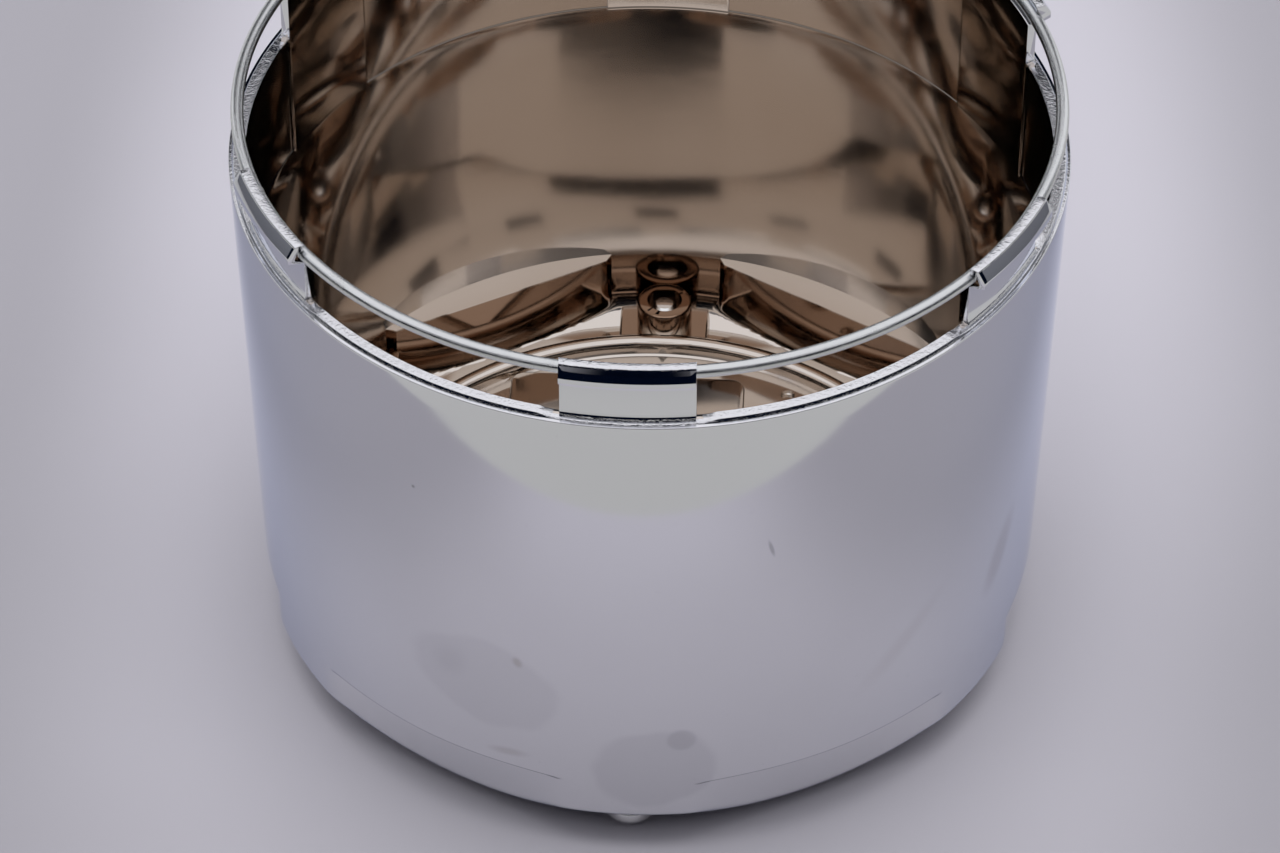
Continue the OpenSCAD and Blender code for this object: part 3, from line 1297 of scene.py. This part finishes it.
@dataclass
class FaceBolt:
    """A domed bolt through one pad of the front face."""

    sizes: CapSizes
    head_r: float = 4.5
    head_h: float = 4.5
    head_side: float = 1.5
    head_edge: float = 0.15
    neck_edge: float = 0.2
    shank_r: float = 2.0
    tip_z: float = 10.9
    tip_bevel: float = 0.5

    def build(self, place: int) -> Thing:
        """Builds one bolt.

        Args:
            place: Number of its pad, 0 at the near tab.

        Returns:
            The bolt.
        """
        head_r, head_h, shank_r, tip_z = self.head_r, self.head_h, self.shank_r, self.tip_z
        tip_r = shank_r - self.tip_bevel
        dome_h = head_h - self.head_side
        dome_r = (head_r ** 2 + dome_h ** 2) / (2 * dome_h)
        reach = math.degrees(math.asin(head_r / dome_r))
        bm = turned_profile(arc((0.0, dome_r), dome_r, -90, -90 + reach, 14)[:-1] + [
            (head_r - 0.04, dome_h - 0.06), (head_r, dome_h + 0.08),
            (head_r, head_h - self.head_edge), (head_r - self.head_edge, head_h),
            (shank_r + self.neck_edge, head_h), (shank_r, head_h + self.neck_edge),
            (shank_r, tip_z - self.tip_bevel), (tip_r, tip_z - 0.05), (tip_r - 0.1, tip_z),
            (0.0, tip_z)])
        shift(bm, 0.0, -self.sizes.bolt_r)
        rotate(bm, bm.verts[:], self.sizes.tab_step * place)
        face_outwards(bm)
        bolt = to_object(bm, f"bolt_{place + 1}_smooth")
        shade(bolt, crease_degrees=40.0)
        return bolt


# ------------------------------------------------------------------ the studio

DARK: Colour = (0.0015, 0.004, 0.013)
SIDE_GREY: Colour = (0.24, 0.25, 0.27)


@dataclass(frozen=True)
class PhotoCamera:
    """The camera of the photograph, measured from the rim, the step and the tabs.

    Attributes:
        focal_px: Focal length in pixels of the picture.
        picture_px: Width of the picture in pixels.
        distance: Distance from the point on the axis that it looks at.
        elevation: Angle above the horizon in degrees.
        below_rim: Depth of that point below the rim.
        tab_turn: Angle of the near tab to the left of the camera in degrees.
        pan: Angle that the view turns right by, in degrees.
        roll: Angle that the picture turns by, in degrees.
    """

    focal_px: float = 5316.5
    picture_px: float = 1280.0
    distance: float = 861.61
    elevation: float = 42.73
    below_rim: float = 60.11
    tab_turn: float = 2.78
    pan: float = -0.126
    roll: float = -0.132

    def build(self, sizes: CapSizes) -> None:
        """Sets up the camera.

        Args:
            sizes: Sizes of the cap, for the height of its rim.
        """
        up, pan = math.radians(self.elevation), math.radians(self.pan)
        away = self.distance * math.cos(up)
        eye = Vector((0.0, -away, self.distance * math.sin(up) + sizes.rim_z - self.below_rim))
        ahead = Vector((math.sin(pan) * math.cos(up), math.cos(pan) * math.cos(up),
                        -math.sin(up)))
        right = ahead.cross(Vector((0, 0, 1))).normalized()
        frame_axes = Matrix((right, right.cross(ahead), -ahead)).transposed()
        rolled = frame_axes @ Matrix.Rotation(-math.radians(self.roll), 3, "Z")
        turned = Matrix.Rotation(math.radians(self.tab_turn), 3, "Z")
        data = bpy.data.cameras.new("photo_camera")
        data.sensor_fit = "HORIZONTAL"
        data.sensor_width = SENSOR_W
        data.lens = self.focal_px / self.picture_px * SENSOR_W
        data.clip_start, data.clip_end = 0.05, 20.0
        camera = link("photo_camera", data)
        camera.matrix_world = Matrix.Translation(turned @ eye * MM) @ (turned @ rolled).to_4x4()
        bpy.context.scene.camera = camera


def plain_finish(name: str, colour: Colour) -> Material:
    """Makes a plain dull material for a card.

    Args:
        name: Name of the material.
        colour: Its colour.

    Returns:
        The material.
    """
    s = Shader(name)
    s.set(base_color=colour, roughness=1.0, specular_ior_level=0.0)
    return s.material


@dataclass(frozen=True)
class ShadeFinish:
    """Finish of the shade above the camera, which grows lighter to both sides."""

    dark_colour: Colour = DARK
    colour: Colour = (0.33, 0.33, 0.34)
    edge_colour: Colour = (0.95, 0.95, 0.97)
    dark_turn: Point = (8.0, 20.0)
    edge_turn: Point = (26.0, 62.0)

    def build(self) -> Material:
        """Makes the material.

        Returns:
            The material.
        """
        s = Shader("camera_shade")
        x, y, _z, _where = s.place()
        turn = (x * x).root().angle_to(y * -1.0)
        middle = s.blend(turn.between(*map(math.radians, self.dark_turn)),
                         self.dark_colour, self.colour)
        s.set(base_color=s.blend(turn.between(*map(math.radians, self.edge_turn)), middle,
                                 self.edge_colour),
              roughness=1.0, specular_ior_level=0.0)
        return s.material


@dataclass(frozen=True)
class FloorFinish:
    """Pale floor with painted shade and light: darker just in front of the cap and far behind it,
    and a little lighter further in front.
    """

    colour: Colour = (0.50, 0.485, 0.53)
    # Painted shade near the cap and far away, and painted light further in front
    near_shade_colour: Colour = (0.46, 0.445, 0.485)
    front_colour: Colour = (0.51, 0.495, 0.54)
    far_shade_colour: Colour = (0.34, 0.33, 0.36)
    near: Point = (40.0, 78.0)
    front: Point = (98.0, 135.0)
    far: Point = (0.28, 0.42)
    far_middle: float = 60.0
    far_unit: float = 300.0

    def build(self) -> Material:
        """Makes the material.

        Returns:
            The material.
        """
        s = Shader("pale_floor")
        x, y, _z, where = s.place()
        cloud = s.noise(where, scale=7.0, detail=2.0)
        behind = y - self.far_middle
        away = (x * x + behind * behind * 0.15).root() / self.far_unit
        # Painted shade in front of the cap, painted light further in front and painted falloff of
        # light far away
        tint = s.blend((y * -1.0).between(*self.near), self.colour, self.near_shade_colour)
        tint = s.blend((y * -1.0).between(*self.front), tint, self.front_colour)
        tint = s.blend((away + cloud * 0.05).between(*self.far), tint, self.far_shade_colour)
        s.set(base_color=tint, roughness=0.9, specular_ior_level=0.1)
        return s.material


@dataclass(frozen=True)
class CurvedCard:
    """A card that stands curved round an upright line, for the plating to mirror.

    Attributes:
        name: Name of the card.
        colour: Its colour, or None for the shade's finish.
        low: Radius and height of its lower edge.
        high: Radius and height of its upper edge.
        reach: Angles that it reaches to either side, in degrees.
        centre_y: Place of the upright line.
        facing: Direction of its middle in degrees from the near tab.
        soft: Whether dull surfaces see it too.
    """

    name: str
    colour: Colour | None
    low: Point
    high: Point
    reach: Point
    centre_y: float = 0.0
    facing: float = 0.0
    soft: bool = True

    def build(self) -> Thing:
        """Builds the card.

        Returns:
            The card.
        """
        bm = bmesh.new()
        bm.edges.new([bm.verts.new((0, -r, z)) for r, z in (self.low, self.high)])
        rotate(bm, bm.verts[:], math.radians(self.facing - self.reach[0]))
        spin(bm, math.radians(sum(self.reach)), 64)
        shift(bm, 0.0, self.centre_y)
        card = to_object(bm, self.name, unit=1.0)
        card.data.materials.append(plain_finish(self.name, self.colour) if self.colour
                                   else ShadeFinish().build())
        return card


@dataclass(frozen=True)
class Studio:
    """Pale floor, soft light and the cards that the plating mirrors."""

    sky_colour: Colour = (0.96, 0.96, 1.0)
    sky_strength: float = 1.04
    lamp_power: float = 10.5
    lamp_size: Point = (1.5, 0.9)
    lamp_z: float = 1.35
    floor_r: float = 1.6
    front_colour: Colour = (0.49, 0.49, 0.475)
    front_hole: float = 0.181
    front_hole_y: float = 0.047
    front_r: float = 1.2
    front_z: float = 0.0005
    cards: tuple[CurvedCard, ...] = (
        CurvedCard("dark_screen", DARK, (1.45, -0.05), (1.45, 0.85), (84.0, 84.0)),
        CurvedCard("camera_shade", None, (1.45, 0.85), (1.25, 1.21), (62.0, 62.0)),
        CurvedCard("back_card", DARK, (0.20, 0.125), (0.20, 0.208), (33.0, 47.0),
                   -0.05, 180.0, False),
        CurvedCard("left_screen", SIDE_GREY, (1.45, -0.05), (1.45, 0.85), (125.0, -84.0)),
        CurvedCard("right_screen", SIDE_GREY, (1.45, -0.05), (1.45, 0.85), (-84.0, 125.0)),
    )

    def build(self) -> None:
        """Sets up the world, the lamp, the floor and the cards."""
        bpy.context.scene.view_settings.view_transform = "Standard"
        self._sky()
        self._lamp()
        self._floor()
        self._stage_card(self._front_card(), False)
        for card in self.cards:
            self._stage_card(card.build(), card.soft)

    def _sky(self) -> None:
        """Gives the world its plain soft light."""
        world = bpy.data.worlds.new("studio")
        world.use_nodes = True
        back = world.node_tree.nodes["Background"]
        back.inputs[0].default_value = (*self.sky_colour, 1.0)
        back.inputs[1].default_value = self.sky_strength
        bpy.context.scene.world = world

    def _lamp(self) -> None:
        """Hangs the large soft lamp above the cap."""
        data = bpy.data.lights.new("soft_lamp", "AREA")
        data.shape = "RECTANGLE"
        data.size, data.size_y = self.lamp_size
        data.energy = self.lamp_power
        lamp = link("soft_lamp", data)
        lamp.location = (0.0, 0.0, self.lamp_z)
        lamp.visible_glossy = False

    def _floor(self) -> None:
        """Lays the round floor."""
        bm = bmesh.new()
        bmesh.ops.create_circle(bm, segments=96, radius=self.floor_r, cap_ends=True)
        floor = to_object(bm, "floor", unit=1.0)
        floor.data.materials.append(FloorFinish().build())

    def _front_card(self) -> Thing:
        """Lays the warmer card with its round opening, which the front of the wall mirrors.

        Returns:
            The card.
        """
        bm = bmesh.new()
        for radius in (self.front_hole, self.front_r):
            bmesh.ops.create_circle(bm, segments=128, radius=radius, cap_ends=False)
        bmesh.ops.bridge_loops(bm, edges=bm.edges[:])
        shift(bm, 0.0, self.front_hole_y, self.front_z)
        card = to_object(bm, "front_card", unit=1.0)
        card.data.materials.append(plain_finish("front_card", self.front_colour))
        return card

    @staticmethod
    def _stage_card(card: Thing, soft: bool) -> None:
        """Hides a card from the camera and from shadows, and sets whether dull surfaces see it.

        Args:
            card: The card.
            soft: Whether dull surfaces see it too.
        """
        card.visible_camera = False
        card.visible_diffuse = soft
        card.visible_shadow = False


def dress(piece: Thing, node: str, slot: str, *materials: Material) -> None:
    """Gives a piece its materials and lets it stand for a node of the frame.

    Args:
        piece: The piece.
        node: The node that it replaces.
        slot: Name of its material slot, which is not used.
        materials: Its materials, in the order of its face marks.
    """
    for material in materials:
        piece.data.materials.append(material)
    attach(piece, BODY)
    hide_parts(node)
    log.info("%s: %d faces, stands for %s", piece.name, len(piece.data.polygons), node)


def main() -> None:
    logging.basicConfig(level=logging.INFO, format="%(name)s %(message)s")
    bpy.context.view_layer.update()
    sizes = CapSizes()
    PhotoCamera().build(sizes)
    Studio().build()
    outside, inside = OutsidePlating().build(), InsidePlating().build()
    dress(CapShell(sizes).build(), "cap_shell", "plated_plastic", outside, inside)
    dress(WireRing(sizes).build(), "retaining_ring", "spring_wire", SpringWire().build())
    bolt_finish = BoltPlating().build()
    for place in range(sizes.tabs):
        dress(FaceBolt(sizes).build(place), f"bolt_{place + 1}", "bolt_plating", bolt_finish)


if __name__ == "__main__":
    main()
